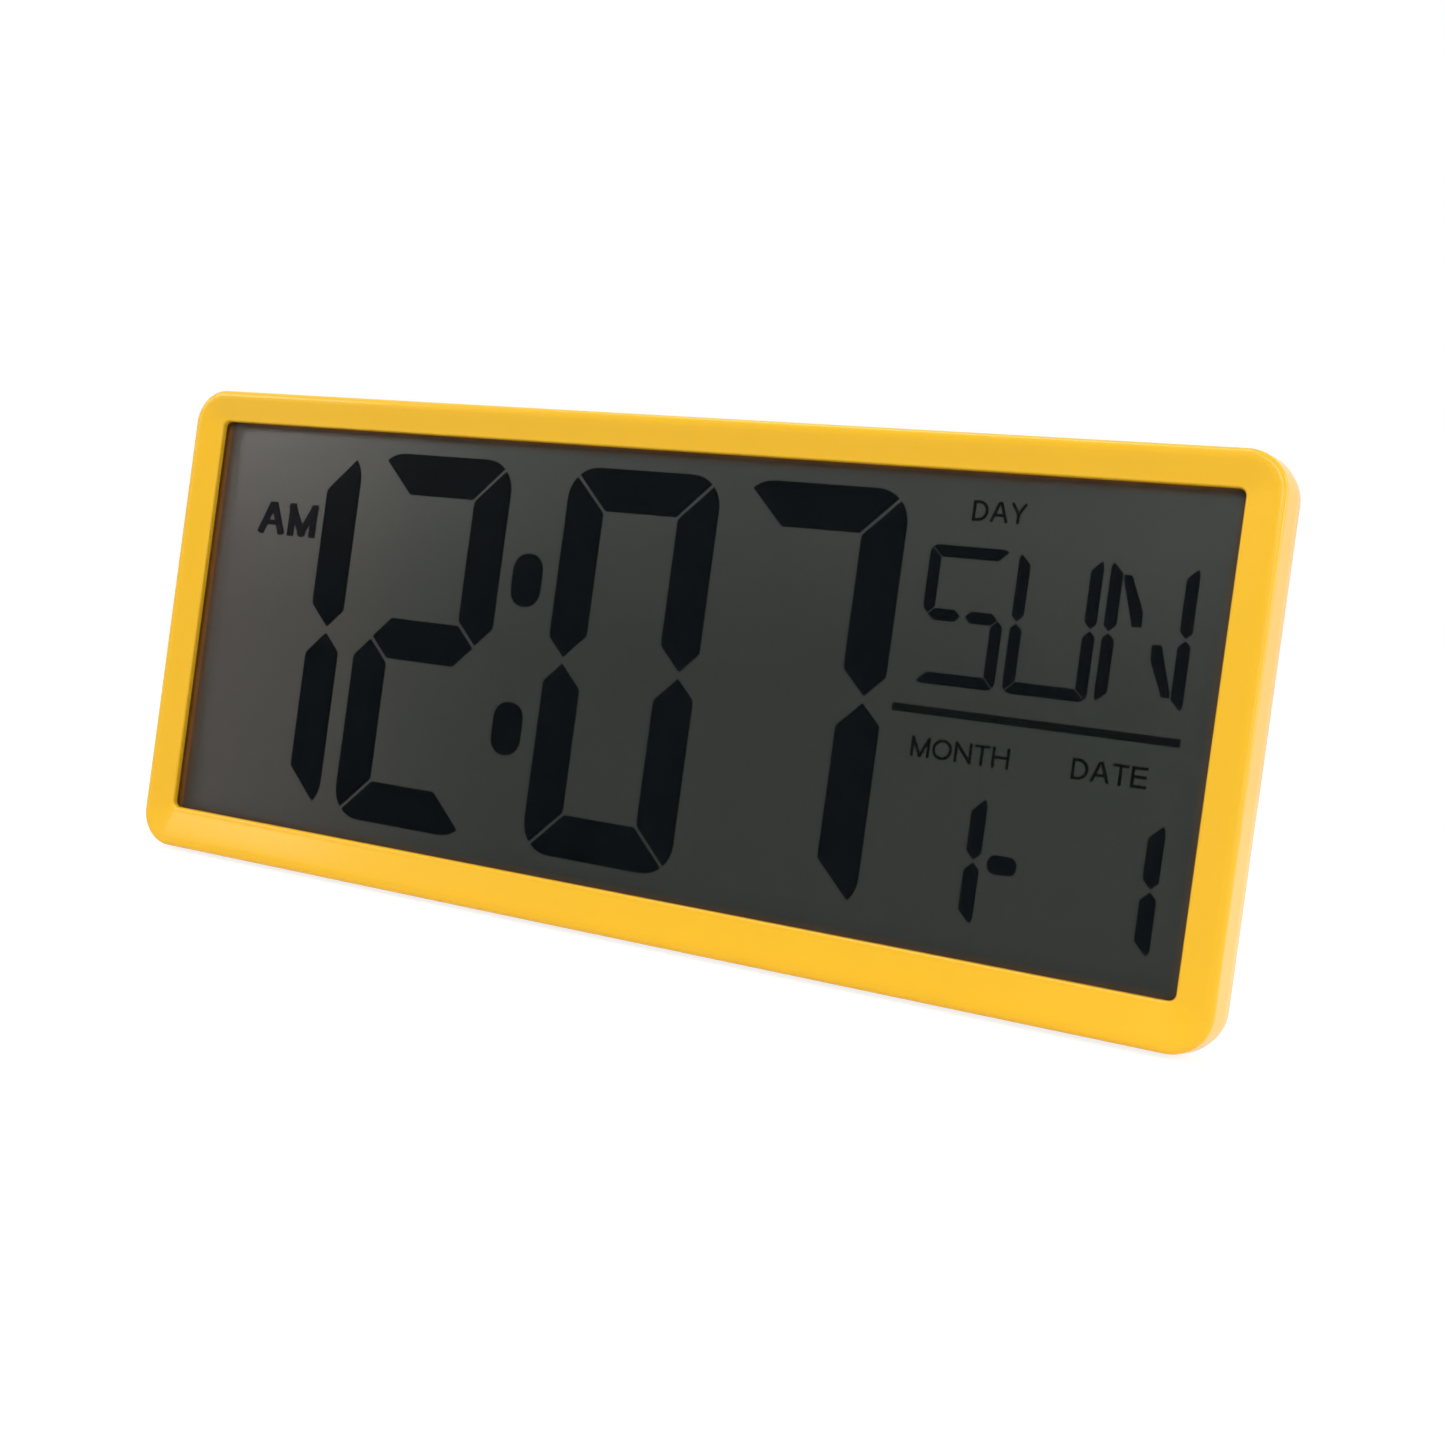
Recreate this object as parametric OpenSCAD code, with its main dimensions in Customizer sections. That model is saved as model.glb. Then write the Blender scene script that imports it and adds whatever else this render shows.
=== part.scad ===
// Large digital wall clock with a liquid crystal display. It hangs on two screws or stands on a fold-out leg.
// Millimetres. X runs to the viewer's right, Y from the viewer into the wall, Z up.
// The origin is under the middle of the case, half way through its depth.
// A depth, written d, is measured from the bezel's front ridge back towards the wall.

/* [Case] */
// overall width of the bezel
case_w = 366; // [345:1:400]
// overall height of the bezel
case_h = 160; // [152:1:180]
// overall depth, from the bezel's front ridge to the wall
case_d = 30; // [29:0.5:34]
// radius of the bezel's four corners seen from the front
corner_r = 12.6; // [10:0.2:15]
// depth of the bezel's side walls
bezel_d = 18; // [17:0.5:20]
// thickness of the bezel's side walls
wall = 2.2; // [1.8:0.1:2.4]
// how far the side walls lean in towards the front
wall_draft = 1.1; // [0.5:0.1:1.3]
// straight part at the rear of the side walls, on which the clock stands
wall_land = 6; // [4:0.5:8]

/* [Bezel face] */
// width of the left and right bars
side_bar = 11.7; // [11:0.1:16]
// width of the top bar
top_bar = 11.3; // [10.5:0.1:14]
// width of the bottom bar
bottom_bar = 14.5; // [14:0.1:20]
// how far the face falls from the ridge to the opening
dish = 2.3; // [1:0.1:3]
// thickness of the lip around the opening
lip_t = 1.9; // [1.5:0.1:2.5]
// rounding of the front outer edge
edge_r = 1.6; // [1:0.1:4]
// corner radius of the opening
window_r = 2.2; // [1:0.1:4]

/* [Display] */
// share of the opening's height that the time digits take
digit_share = 0.903; // [0.7:0.001:0.92]
// thickness of each glass plate
glass_t = 1.1; // [0.7:0.1:1.1]
// thickness of the polariser and of the reflector
film_t = 0.3; // [0.2:0.05:0.4]

/* [Rear cover] */
// inset of the raised back from the case's outline
hump_in = 12; // [11:0.5:14]
// rounding of the raised back's edge
hump_edge_r = 3; // [1:0.5:4]
// thickness of the cover's plates
cover_t = 2; // [1.8:0.1:2.4]
// distance between the two keyholes
key_span = 220; // [160:10:260]
// height of the keyholes' round entries
key_z = 122; // [118:1:126]
// radius of a keyhole's entry
key_r = 4.5; // [4:0.1:5]
// radius of a keyhole's narrow slot
key_slot_r = 2.2; // [1.8:0.1:2.6]

/* [Stand] */
// width of the fold-out leg
stand_w = 70; // [50:1:84]
// height of the leg's hinge
hinge_z = 66; // [60:1:76]
// angle of the open leg to the back
stand_open = 31; // [20:1:34]
// thickness of the leg
leg_t = 3; // [2.4:0.1:3.2]

/* [Batteries] */
// distance of the battery bay's middle from the case's middle, as a share of the case's width
bay_share = 0.2732; // [0.27:0.0001:0.29]
// height of the battery bay's middle
bay_z = 77; // [72:1:88]

/* [Buttons] */
// radius of a button's cap
button_r = 4; // [3:0.1:4.6]
// distance between neighbouring buttons
button_pitch = 18; // [15:0.5:18.5]
// how far a button is pressed
button_travel = 0.4; // [0.3:0.1:0.6]

/* [Hidden] */
$fn = 72;
fillet_steps = 8;
tiny = 0.01;
// gap between pieces that move past each other
run_gap = 0.3;
// gap between pieces that are pushed together by hand
fit_gap = 0.2;
front_y = -case_d / 2;

// opening in the bezel
win_w = case_w - 2 * side_bar;
win_h = case_h - top_bar - bottom_bar;
win_cz = bottom_bar + win_h / 2;
win_low = bottom_bar;
win_top = case_h - top_bar;
plate_t = dish + lip_t;
crest_in = wall_draft + edge_r + 0.4;

// layers behind the lip, from front to back
gasket_t = 0.2;
cell_gap = 0.2;
tray_t = 1.6;
film_d = plate_t + gasket_t;
front_glass_d = film_d + film_t;
liquid_d = front_glass_d + glass_t;
rear_glass_d = liquid_d + cell_gap;
reflector_d = rear_glass_d + glass_t;
tray_d = reflector_d + film_t;
tray_rear_d = tray_d + tray_t;
board_gap = 2.6;
board_d = tray_rear_d + board_gap;
board_t = 1.6;
board_rear_d = board_d + board_t;

// glass edges beyond the opening
glass_over = 3;
film_over = glass_over - 0.5;
seal_w = 1.5;
ledge = 3;
zebra_t = 2;
zebra_z = win_low - glass_over - ledge / 2;

// screws that hold the rear cover to the bezel
screw_r = 1.1;
screw_len = 8;
screw_head_r = 2;
screw_head_t = 1.4;
boss_r = 2.6;
boss_in = wall + boss_r - 0.3;
flange_d = bezel_d - cover_t;
side_screw_x = case_w / 2 - boss_in;
end_screw_x = case_w * 0.22;
case_screw_spots = [
    for (s = [-1, 1]) for (f = [0.2, 0.8]) [s * side_screw_x, case_h * f],
    for (s = [-1, 1]) for (z = [boss_in, case_h - boss_in]) [s * end_screw_x, z]
];
tray_low = boss_in + boss_r + fit_gap;
fence_t = 1;

// display layout, drawn in units of which one is this share of the digits' height
unit_share = 1 / 121;
digit_h = digit_share * min(win_h, win_w * 0.394);
layout = digit_h * unit_share;
layout_cz = win_cz + 0.25 * layout;
digit_w = 52.5 * layout;
seg_t = 13.3 * layout;
digit_x = [for (x = [-138.8, -79.75, -6.2, 53.2]) x * layout];
lit_digits = ["bc", "abged", "abcdef", "abc"];
colon_x = -43.35 * layout;
colon_z = 23.5 * layout;
colon_size = [10.9, 16.9] * layout;
letter_h = 39.2 * layout;
letter_w = 23.5 * layout;
letter_t = 3.4 * layout;
letter_z = 26.4 * layout;
letter_x = [for (x = [99.15, 124.8, 150.2]) x * layout];
lit_letters = ["afghcd", "fedcb", "fekmbc"];
date_h = 36.7 * layout;
date_w = 15.9 * layout;
date_t = 4.4 * layout;
date_z = -40.1 * layout;
date_x = [for (x = [105.85, 154.3]) x * layout];
dash_x = 119.9 * layout;
dash_size = [8.3, 5.3] * layout;
rule_x = [82.35 * layout, 162.75 * layout];
rule_z = -0.7 * layout;
rule_t = 2.3 * layout;
// each legend: letters, middle in X and Z, letter height, the shares of it that strokes and gaps take, widening
legends = [
    ["AM", -140.75, 35.45, 11.1, 0.25, 0.14, 1.16],
    ["DAY", 105.6, 56.2, 5.8, 0.15, 0.12, 1],
    ["MONTH", 103.75, -11, 5.8, 0.15, 0.12, 1],
    ["DATE", 145.4, -11, 5.8, 0.15, 0.12, 1]
];

// raised back of the rear cover
hump_w = case_w - 2 * hump_in;
hump_h = case_h - 2 * hump_in;
hump_low = hump_in;
hump_r = corner_r - 2;
back_in_d = case_d - cover_t;
key_slot_up = 8;

// fold-out leg and its channel
channel_x = stand_w / 2 + 0.8;
channel_wall = 2;
pin_r = 1.2;
pin_play = 0.05;
barrel_r = 2.1;
hinge_d = case_d - barrel_r - 0.3;
leg_tip_z = 4.5;
leg_len = hinge_z - leg_tip_z;
heel_up = 5;
channel_d = hinge_d - leg_t / 2 - 0.7;
// deepest that the heel reaches when the leg is fully open, with a little room
heel_reach = leg_t / 2 * cos(stand_open) + heel_up * sin(stand_open) + 0.15;
pocket_d = hinge_d - max(heel_reach, barrel_r + run_gap);
pocket_top = hinge_z + norm([heel_up, leg_t / 2]) + 0.4;
pocket_low = hinge_z - barrel_r - run_gap;

// battery bay for two AA cells side by side
cell_r = 7.25;
cell_len = 50.5;
nub_r = 2.75;
nub_len = 1;
spring_r = 5.5;
strip_t = 0.5;
bay_wall = 2;
bay_x = case_w * bay_share;
bay_l = cell_len + spring_r + 2 * strip_t;
bay_h = 4 * cell_r + 1.5;
bay_x0 = bay_x - bay_l / 2;
bay_x1 = bay_x + bay_l / 2;
bay_low = bay_z - bay_h / 2;
bay_top = bay_z + bay_h / 2;
cell_z = [bay_z + cell_r + 0.25, bay_z - cell_r - 0.25];
cell_d = back_in_d - 0.5 - cell_r;
bay_floor_d = cell_d - cell_r - 0.3;
bay_floor_t = 1.2;
bay_room = 0.5;
door_ledge = 1.1;
door_low = bay_low - door_ledge;
door_t = cover_t - 0.2;
door_tab_x = [bay_x - 18, bay_x + 18];
door_tab_w = 8;
door_tab_in = 2.5;
door_tab_t = 1.4;
door_tab_d = back_in_d - 0.4 - door_tab_t;
latch_w = 16;
latch_up = 4;
strip_half = 6;
tab_half = 2;
tab_out = 3;

// circuit board, placed so that its switches sit under the buttons
button_top_d = case_d - 0.4;
button_x = [for (i = [0:3]) -(channel_x + channel_wall + 22 + i * button_pitch)];
button_z = 34;
button_flange_r = button_r + 1.2;
button_flange_t = 1.2;
button_flange_d = back_in_d - run_gap - button_flange_t;
well_t = 1;
switch_w = 6;
switch_t = 3.5;
plunger_r = 1.7;
plunger_up = 1.1;
plunger_in = 1.7;
plunger_top_d = board_rear_d + switch_t + plunger_up;
// floor of a switch's bore, which leaves room under the pressed plunger
switch_bore_d = board_rear_d + switch_t - plunger_in - button_travel - 0.6;
stem_r = 2.2;
board_x0 = button_x[3] - 16;
board_x1 = 30;
board_z0 = tray_low + 1;
board_z1 = 50;
board_post_r = 2.6;
board_screw_r = 0.85;
board_screw_len = 3.2;
board_screw_spots = [for (x = [board_x0 + 5, board_x1 - 5]) for (z = [board_z0 + 6, board_z1 - 4]) [x, z]];
zebra_x0 = board_x0 + 11;
zebra_x1 = board_x1 - 11;

// posts inside the rear cover that press the display stack against the lip
press_r = 2.5;
press_spots = [
    [-case_w * 0.41, case_h * 0.25], [case_w * 0.41, case_h * 0.25],
    [-case_w * 0.41, case_h * 0.72], [case_w * 0.41, case_h * 0.72],
    [-case_w * 0.165, case_h * 0.72], [case_w * 0.165, case_h * 0.76],
    [-case_w * 0.165, case_h * 0.46], [case_w * 0.165, case_h * 0.15]
];

// leads from the battery contacts to the board
lead_r = 0.7;
lead_bend = 2.5;
lead_d = cell_d;
lead_start_x = bay_x0 - bay_wall - tab_out;
lead_gap = 4;
lead_drop_x = lead_start_x - 2 * lead_bend;
lead_end_x = board_x1 - 5;
lead_across_z = board_z1 - 16;
lead_step_z = 6;

function edge_arc(x, r) =
    [for (i = [0:fillet_steps]) let (a = 90 * i / fillet_steps) [x + r * sin(a), r - r * cos(a)]];
function at(x, d, z) = [x, front_y + d, z];

// Extrudes an outline drawn in X and Z from depth d0 back to depth d1.
module slab(d0, d1) {
    translate([0, front_y + d1, 0])
        rotate([90, 0, 0])
            linear_extrude(d1 - d0)
                children();
}

// Round bar along the depth.
module rod(spot, r, d0, d1) {
    translate(at(spot[0], d1, spot[1]))
        rotate([90, 0, 0])
            cylinder(r = r, h = d1 - d0);
}

// Block between two depths, given by its ranges in X and Z.
module block(x, z, d0, d1) {
    translate(at(x[0], d0, z[0]))
        cube([x[1] - x[0], d1 - d0, z[1] - z[0]]);
}

// Round bar along X.
module bar_x(x0, x1, d, z, r) {
    translate(at(x0, d, z))
        rotate([0, 90, 0])
            cylinder(r = r, h = x1 - x0);
}

module rounded_rect(w, h, r) {
    square([w - 2 * r, h], center = true);
    square([w, h - 2 * r], center = true);
    for (x = [-1, 1])
        for (y = [-1, 1])
            translate([x * (w / 2 - r), y * (h / 2 - r)])
                circle(r);
}

module case_outline(inset) {
    translate([0, case_h / 2])
        rounded_rect(case_w - 2 * inset, case_h - 2 * inset, corner_r - inset);
}

module window_rect(grow) {
    translate([0, win_cz])
        square([win_w + 2 * grow, win_h + 2 * grow], center = true);
}

// Open box with its face at z = 0, a rounded edge around the face and sides that may lean in towards it.
module open_box(w, h, r, depth, side_t, face_t, edge, draft = 0, land = 0) {
    profile = concat(
        [[0, face_t], [0, 0]],
        edge_arc(r - draft - edge, edge),
        land > 0 ? [[r, depth - land]] : [],
        [[r, depth], [r - side_t, depth], [r - side_t, face_t]]
    );
    for (m = [0, 1])
        mirror([m, 0, 0]) {
            translate([w / 2 - r, h / 2 - r, 0])
                rotate([90, 0, 0])
                    linear_extrude(h - 2 * r)
                        polygon(profile);
            for (n = [0, 1])
                mirror([0, n, 0])
                    translate([w / 2 - r, h / 2 - r, 0])
                        rotate_extrude(angle = 90)
                            polygon(profile);
        }
    for (n = [0, 1])
        mirror([0, n, 0])
            translate([r - w / 2, h / 2 - r, 0])
                rotate([90, 0, 90])
                    linear_extrude(w - 2 * r)
                        polygon(profile);
    translate([r - w / 2, r - h / 2, 0])
        cube([w - 2 * r, h - 2 * r, face_t]);
}

// The dished face is cut along straight lines from the ridge to the opening, carried on past the ridge.
module dish_cut() {
    lead = 0.5;
    f = lead / dish;
    ridge_w = case_w - 2 * crest_in;
    ridge_h = case_h - 2 * crest_in;
    hull() {
        slab(-lead, -lead + tiny)
            translate([0, case_h / 2 + (case_h / 2 - win_cz) * f])
                rounded_rect(
                    ridge_w + (ridge_w - win_w) * f,
                    ridge_h + (ridge_h - win_h) * f,
                    corner_r - crest_in + f
                );
        slab(dish - tiny, dish)
            translate([0, win_cz])
                rounded_rect(win_w, win_h, window_r);
    }
}

module front_bezel() {
    color("gold")
        difference() {
            union() {
                translate([0, front_y, case_h / 2])
                    rotate([-90, 0, 0])
                        open_box(case_w, case_h, corner_r, bezel_d, wall, plate_t, edge_r, wall_draft, wall_land);
                for (p = case_screw_spots)
                    rod(p, boss_r, plate_t - lip_t / 2, flange_d);
            }
            dish_cut();
            slab(-1, plate_t + 1)
                translate([0, win_cz])
                    rounded_rect(win_w, win_h, window_r);
            for (p = case_screw_spots)
                rod(p, screw_r + 0.02, bezel_d - screw_len - 0.5, flange_d + 1);
        }
}

module window_gasket() {
    color("black")
        slab(plate_t, film_d)
            difference() {
                window_rect(film_over - 0.2);
                window_rect(film_over - 1.1);
            }
}

module front_polariser() {
    color("dimgray", 0.4)
        slab(film_d, front_glass_d)
            window_rect(film_over);
}

module lcd_front_glass() {
    color("lightcyan", 0.4)
        slab(front_glass_d, liquid_d)
            union() {
                window_rect(glass_over);
                translate([-win_w / 2 - glass_over, win_low - glass_over - ledge])
                    square([win_w + 2 * glass_over, ledge + 1]);
            }
}

module lcd_seal() {
    color("slategray")
        slab(liquid_d, rear_glass_d)
            difference() {
                window_rect(glass_over);
                window_rect(glass_over - seal_w);
            }
}

module lcd_rear_glass() {
    color("lightcyan", 0.4)
        slab(rear_glass_d, reflector_d)
            window_rect(glass_over);
}

module rear_reflector() {
    color("gray")
        slab(reflector_d, tray_d)
            window_rect(film_over);
}

// Shapes of one digit, centred on its middle. The corners are mitred with narrow gaps.
module seg_top(w, h, t) {
    m = 0.054 * t;
    intersection() {
        rounded_rect(w, h, 0.76 * t);
        polygon([
            [t + m - w / 2, h / 2 - t],
            [w / 2 - t - m, h / 2 - t],
            [w / 2 - m + 1, h / 2 + 1],
            [m - 1 - w / 2, h / 2 + 1]
        ]);
    }
}

module seg_side(w, h, t) {
    m = 0.054 * t;
    tip = 0.45 * t;
    low = 0.076 * t;
    intersection() {
        rounded_rect(w, h, 0.76 * t);
        polygon([
            [w / 2 - tip, low],
            [w / 2 + 1, low + tip + 1],
            [w / 2 + 1, h / 2 - m + 1],
            [w / 2 - t, h / 2 - t - m],
            [w / 2 - t, low + t - tip]
        ]);
    }
}

module seg_middle(x0, x1, t) {
    polygon([
        [x0, 0], [x0 + t / 2, t / 2], [x1 - t / 2, t / 2],
        [x1, 0], [x1 - t / 2, -t / 2], [x0 + t / 2, -t / 2]
    ]);
}

module seg_diagonal(w, h, t) {
    top = h / 2 - 1.15 * t;
    low = 0.6 * t;
    x0 = 1.1 * t - w / 2;
    x1 = 2.95 * t - w / 2;
    polygon([
        [x0, top],
        [x0 + 0.62 * t, top],
        [x1, low + 0.3 * (top - low)],
        [x1, low],
        [x1 - 0.75 * t, low],
        [x0, top - 0.1 * (top - low)]
    ]);
}

module segment(name, w, h, t) {
    if (name == "a")
        seg_top(w, h, t);
    if (name == "b")
        seg_side(w, h, t);
    if (name == "c")
        mirror([0, 1]) seg_side(w, h, t);
    if (name == "d")
        mirror([0, 1]) seg_top(w, h, t);
    if (name == "e")
        rotate(180) seg_side(w, h, t);
    if (name == "f")
        mirror([1, 0]) seg_side(w, h, t);
    if (name == "g" && h < digit_h)
        seg_middle(t / 2 - w / 2, -0.2 * t, t);
    if (name == "g" && h >= digit_h)
        seg_middle(t / 2 - w / 2, w / 2 - t / 2, t);
    if (name == "h")
        seg_middle(0.2 * t, w / 2 - t / 2, t);
    if (name == "k")
        seg_diagonal(w, h, t);
    if (name == "m")
        rotate(180) seg_diagonal(w, h, t);
}

module character(lit, x, z, w, h, t) {
    for (name = lit)
        slab(liquid_d, rear_glass_d)
            translate([x, layout_cz + z])
                segment(name, w, h, t);
}

module time_segments() {
    color("black")
        for (i = [0:3])
            character(lit_digits[i], digit_x[i], 0, digit_w, digit_h, seg_t);
}

module colon_dots() {
    color("black")
        for (s = [-1, 1])
            slab(liquid_d, rear_glass_d)
                translate([colon_x, layout_cz + s * colon_z])
                    rounded_rect(colon_size[0], colon_size[1], colon_size[0] * 0.48);
}

module day_segments() {
    color("black")
        for (i = [0:2])
            character(lit_letters[i], letter_x[i], letter_z, letter_w, letter_h, letter_t);
}

module date_segments() {
    color("black") {
        for (x = date_x)
            character("bc", x, date_z, date_w, date_h, date_t);
        slab(liquid_d, rear_glass_d)
            translate([dash_x, layout_cz + date_z])
                rounded_rect(dash_size[0], dash_size[1], dash_size[1] * 0.46);
    }
}

// Straight stroke of a letter between two points of a unit cell.
module stroke(a, b, size, t) {
    p = [a[0] * size[0], a[1] * size[1]];
    q = [b[0] * size[0], b[1] * size[1]];
    translate(p)
        rotate(atan2(q[1] - p[1], q[0] - p[0]))
            translate([-t / 2, -t / 2])
                square([norm(q - p) + t, t]);
}

// Round stroke, as a ring or as its right half.
module bowl(size, t, half) {
    intersection() {
        translate([size[0] - size[1] / 2, size[1] / 2])
            difference() {
                circle((size[1] + t) / 2);
                circle((size[1] - t) / 2);
            }
        if (half)
            translate([size[0] - size[1] / 2, -t])
                square(size[1] + 2 * t);
    }
}

function letter_share(c) =
    c == "M" ? 0.95 :
    c == "O" ? 1 :
    c == "D" ? 0.75 :
    c == "E" || c == "T" || c == "Y" ? 0.7 :
    0.84;

// A third value is the most that a stroke takes of the letter's height.
function letter_strokes(c) =
    c == "A" ? [[[0, 0], [0.43, 1]], [[0.57, 1], [1, 0]], [[0.22, 0.32], [0.78, 0.32], 0.16]] :
    c == "M" ? [[[0, 0], [0, 1]], [[0, 1], [0.5, 0]], [[0.5, 0], [1, 1]], [[1, 1], [1, 0]]] :
    c == "D" ? [[[0, 0], [0, 1]], [[0, 1], [0.4, 1]], [[0, 0], [0.4, 0]]] :
    c == "Y" ? [[[0.5, 0], [0.5, 0.45]], [[0.5, 0.45], [0, 1]], [[0.5, 0.45], [1, 1]]] :
    c == "N" ? [[[0, 0], [0, 1]], [[0, 1], [1, 0]], [[1, 0], [1, 1]]] :
    c == "T" ? [[[0.5, 0], [0.5, 1]], [[0, 1], [1, 1]]] :
    c == "H" ? [[[0, 0], [0, 1]], [[1, 0], [1, 1]], [[0, 0.52], [1, 0.52]]] :
    c == "E" ? [[[0, 0], [0, 1]], [[0, 0], [1, 0]], [[0, 0.52], [0.94, 0.52]], [[0, 1], [1, 1]]] :
    [];

module letter(c, h, t, wide) {
    size = [letter_share(c) * wide * (h - t), h - t];
    if (c != "O")
        intersection() {
            union() {
                for (s = letter_strokes(c))
                    stroke(s[0], s[1], size, len(s) > 2 ? min(t, s[2] * h) : t);
            }
            translate([-t, -t / 2])
                square([size[0] + 2 * t, h]);
        }
    if (c == "D")
        bowl(size, t, true);
    if (c == "O")
        bowl(size, t, false);
}

// Width of the first n letters of a word, with the gaps after them.
function word_w(word, n, h, t, gap, wide) =
    n == 0 ? 0 :
    word_w(word, n - 1, h, t, gap, wide) + letter_share(word[n - 1]) * wide * (h - t) + t + gap;

module word(letters, x, z, h, t, gap, wide) {
    full = word_w(letters, len(letters), h, t, gap, wide) - gap;
    start = x - full / 2 + t / 2;
    for (i = [0:len(letters) - 1])
        slab(liquid_d, rear_glass_d)
            translate([start + word_w(letters, i, h, t, gap, wide), layout_cz + z - (h - t) / 2])
                letter(letters[i], h, t, wide);
}

module legend_marks() {
    color("black") {
        for (m = legends)
            word(
                m[0],
                m[1] * layout,
                m[2] * layout,
                m[3] * layout,
                m[3] * m[4] * layout,
                m[3] * m[5] * layout,
                m[6]
            );
        slab(liquid_d, rear_glass_d)
            translate([rule_x[0], layout_cz + rule_z - rule_t / 2])
                square([rule_x[1] - rule_x[0], rule_t]);
    }
}

module lcd_tray() {
    half = win_w / 2 + glass_over;
    fence_x = half + fit_gap + fence_t;
    fence_z = [case_h * 0.3, case_h * 0.7];
    color("white")
        difference() {
            union() {
                block([-fence_x, fence_x], fence_z, tray_d, tray_rear_d);
                block([-half, half], [tray_low, win_top + glass_over], tray_d, tray_rear_d);
                for (m = [0, 1])
                    mirror([m, 0, 0])
                        block([fence_x - fence_t, fence_x], fence_z, front_glass_d, tray_rear_d);
                for (p = board_screw_spots)
                    rod(p, board_post_r, tray_d + tray_t / 2, board_d);
            }
            block(
                [zebra_x0 - fit_gap, zebra_x1 + fit_gap],
                [zebra_z - zebra_t / 2 - 0.1, zebra_z + zebra_t / 2 + 0.1],
                tray_d - 1,
                tray_rear_d + 1
            );
            // window that leaves room for the floor of the battery bay
            block(
                [bay_x0 - bay_wall - bay_room, bay_x1 + bay_wall + bay_room],
                [bay_low - bay_wall - bay_room, bay_top + bay_wall + bay_room],
                tray_d - 1,
                tray_rear_d + 1
            );
            for (p = board_screw_spots)
                rod(p, board_screw_r + 0.02, board_rear_d - board_screw_len - 0.3, board_d + 1);
        }
}

module zebra_strip() {
    color("lightpink")
        block([zebra_x0, zebra_x1], [zebra_z - zebra_t / 2, zebra_z + zebra_t / 2], liquid_d, board_d);
}

module main_board() {
    color("darkgreen")
        difference() {
            block([board_x0, board_x1], [board_z0, board_z1], board_d, board_rear_d);
            for (p = board_screw_spots)
                rod(p, board_screw_r + 0.25, board_d - 1, board_rear_d + 1);
        }
}

// Pan-head screw whose head sits on depth d, with a cross recess.
module screw(spot, r, len, head_r, head_t, d) {
    difference() {
        union() {
            rod(spot, r, d - len, d + head_t / 2);
            rod(spot, head_r, d, d + head_t);
        }
        for (a = [[0.65, 0.15], [0.15, 0.65]])
            block(
                [spot[0] - a[0] * head_r, spot[0] + a[0] * head_r],
                [spot[1] - a[1] * head_r, spot[1] + a[1] * head_r],
                d + head_t * 0.45,
                d + head_t + 1
            );
    }
}

module board_screws() {
    color("silver")
        for (p = board_screw_spots)
            screw(p, board_screw_r, board_screw_len, board_screw_r * 2, 1, board_rear_d);
}

module case_screws() {
    color("silver")
        for (p = case_screw_spots)
            screw(p, screw_r, screw_len, screw_head_r, screw_head_t, bezel_d);
}

module chip_blob() {
    color("black")
        translate(at(-14, board_rear_d, 27))
            rotate([-90, 0, 0])
                cylinder(r1 = 6, r2 = 4.2, h = 1.5);
}

module quartz_crystal() {
    color("silver")
        bar_x(-34, -26, board_rear_d + 1.5, 40, 1.5);
}

module chip_capacitors() {
    color("tan")
        for (i = [0:5])
            block([3 + i * 3.4, 4.3 + i * 3.4], [18, 20], board_rear_d, board_rear_d + 0.9);
}

module filter_capacitor() {
    color("navy")
        rod([-38, 20], 2.5, board_rear_d, board_rear_d + 6);
}

module switch_bodies() {
    color("dimgray")
        for (x = button_x)
            difference() {
                block(
                    [x - switch_w / 2, x + switch_w / 2],
                    [button_z - switch_w / 2, button_z + switch_w / 2],
                    board_rear_d,
                    board_rear_d + switch_t
                );
                rod([x, button_z], plunger_r + fit_gap, switch_bore_d, board_rear_d + switch_t + 1);
            }
}

module plunger(i) {
    color("black")
        rod([button_x[i], button_z], plunger_r, board_rear_d + switch_t - plunger_in, plunger_top_d);
}

module mode_plunger() {
    plunger(0);
}

module set_plunger() {
    plunger(1);
}

module up_plunger() {
    plunger(2);
}

module down_plunger() {
    plunger(3);
}

// Button cap with a flange that keeps it in and a stem that reaches the switch.
module button(i) {
    spot = [button_x[i], button_z];
    rod(spot, stem_r, plunger_top_d, button_flange_d + 0.5);
    rod(spot, button_flange_r, button_flange_d, button_flange_d + button_flange_t);
    rod(spot, button_r, button_flange_d + 0.5, button_top_d);
}

module mode_button() {
    color("gray")
        difference() {
            button(0);
            rod([button_x[0], button_z], button_r * 0.4, button_top_d - 0.4, case_d);
        }
}

module set_button() {
    color("gray")
        difference() {
            button(1);
            block(
                [button_x[1] - button_r * 0.4, button_x[1] + button_r * 0.4],
                [button_z - button_r * 0.4, button_z + button_r * 0.4],
                button_top_d - 0.4,
                case_d
            );
        }
}

// Triangle in the cap of the two setting buttons, pointing up for s = 1 and down for s = -1.
module arrow_cut(i, s) {
    slab(button_top_d - 0.4, case_d)
        translate([button_x[i], button_z])
            polygon([
                [-button_r * 0.5, -s * button_r * 0.35],
                [button_r * 0.5, -s * button_r * 0.35],
                [0, s * button_r * 0.5]
            ]);
}

module up_button() {
    color("gray")
        difference() {
            button(2);
            arrow_cut(2, 1);
        }
}

module down_button() {
    color("gray")
        difference() {
            button(3);
            arrow_cut(3, -1);
        }
}

module keyhole(x) {
    rod([x, key_z], key_r, back_in_d - 1, case_d + 1);
    rod([x, key_z + key_slot_up], key_slot_r, back_in_d - 1, case_d + 1);
    block([x - key_slot_r, x + key_slot_r], [key_z, key_z + key_slot_up], back_in_d - 1, case_d + 1);
}

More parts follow.
